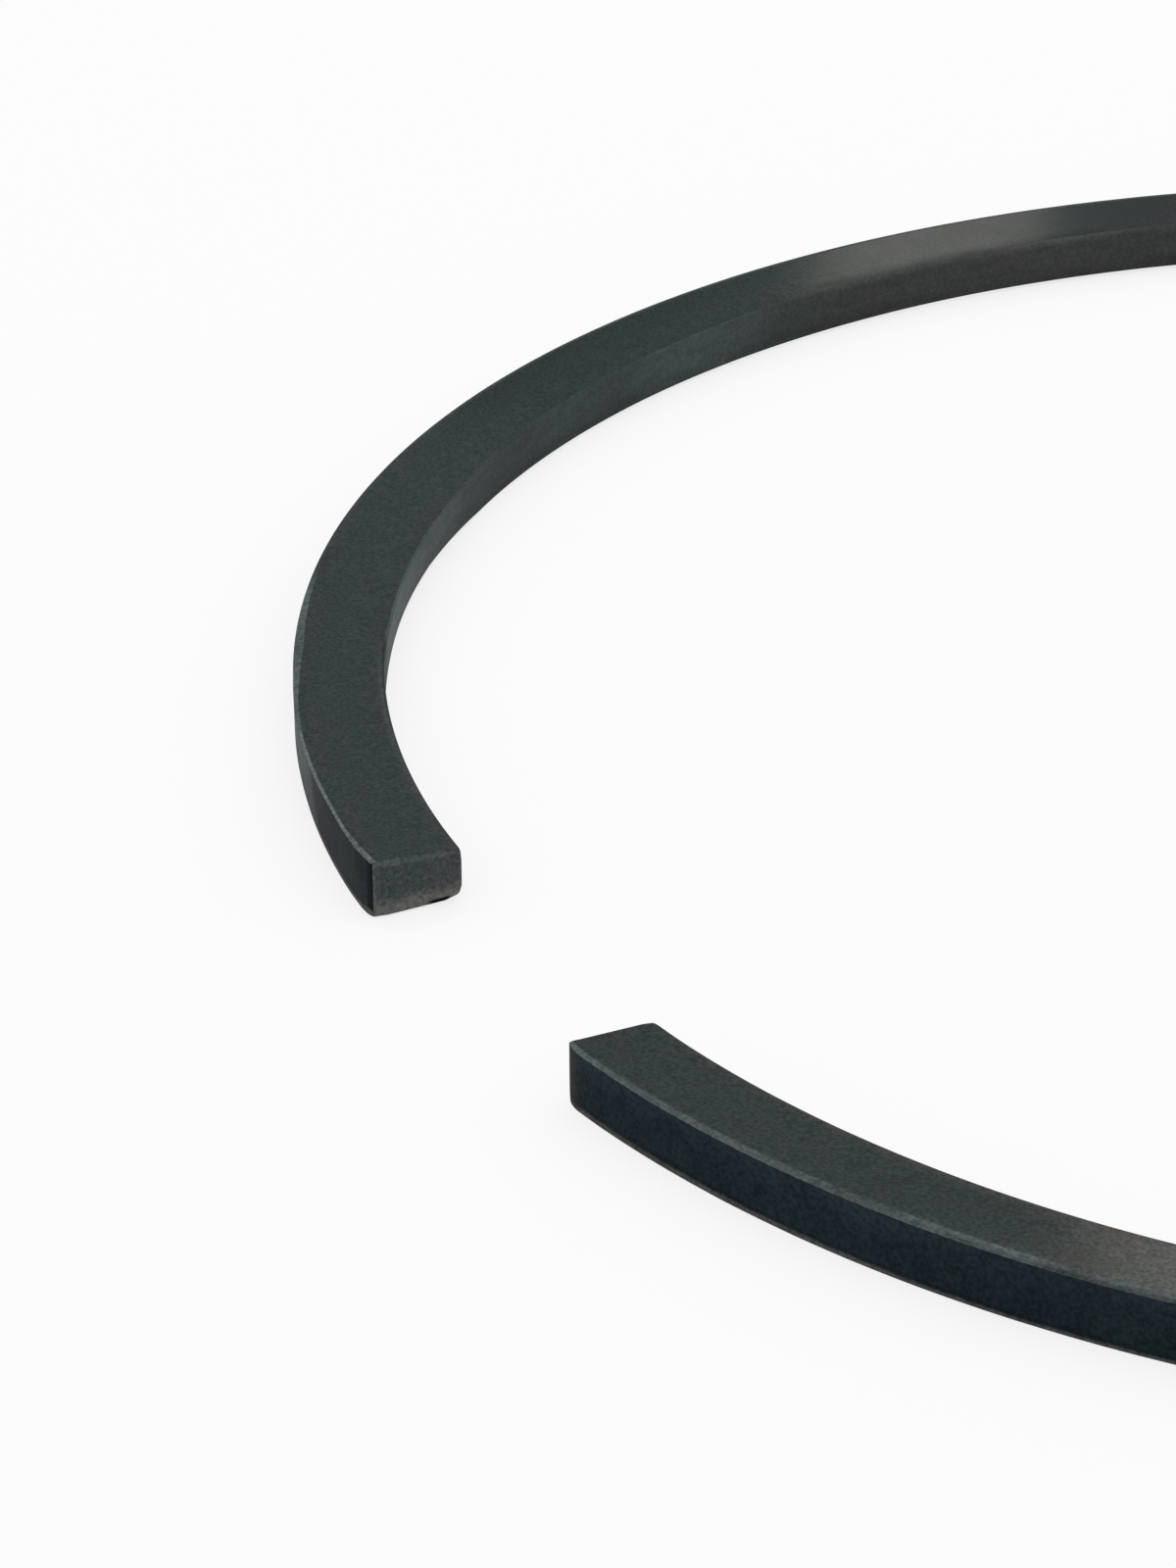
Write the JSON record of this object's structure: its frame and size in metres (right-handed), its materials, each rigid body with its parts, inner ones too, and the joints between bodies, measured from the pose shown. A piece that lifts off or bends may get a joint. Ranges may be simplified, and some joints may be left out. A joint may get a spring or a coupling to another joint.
{
  "type": "piston ring",
  "caption": "Split ring of coated cast iron with a wedge-shaped section, lying sprung open. It sits in a piston's groove and seals the piston in its cylinder.",
  "frame": {"origin": "centre of the ring's box, on the surface that it lies on", "axes": "+Z along the ring's axis, up from the surface it lies on; -Y from the centre to the gap between its ends; +X across, with the ring's two halves mirrored in X"},
  "size_m": [0.1324, 0.1286, 0.0031],
  "materials": {
    "coated_cast_iron": "dark grey-green phosphate coating over fine turning marks, matt to satin"
  },
  "bodies": {
    "root": {"piston_ring": "coated_cast_iron"}
  },
  "joints": []
}
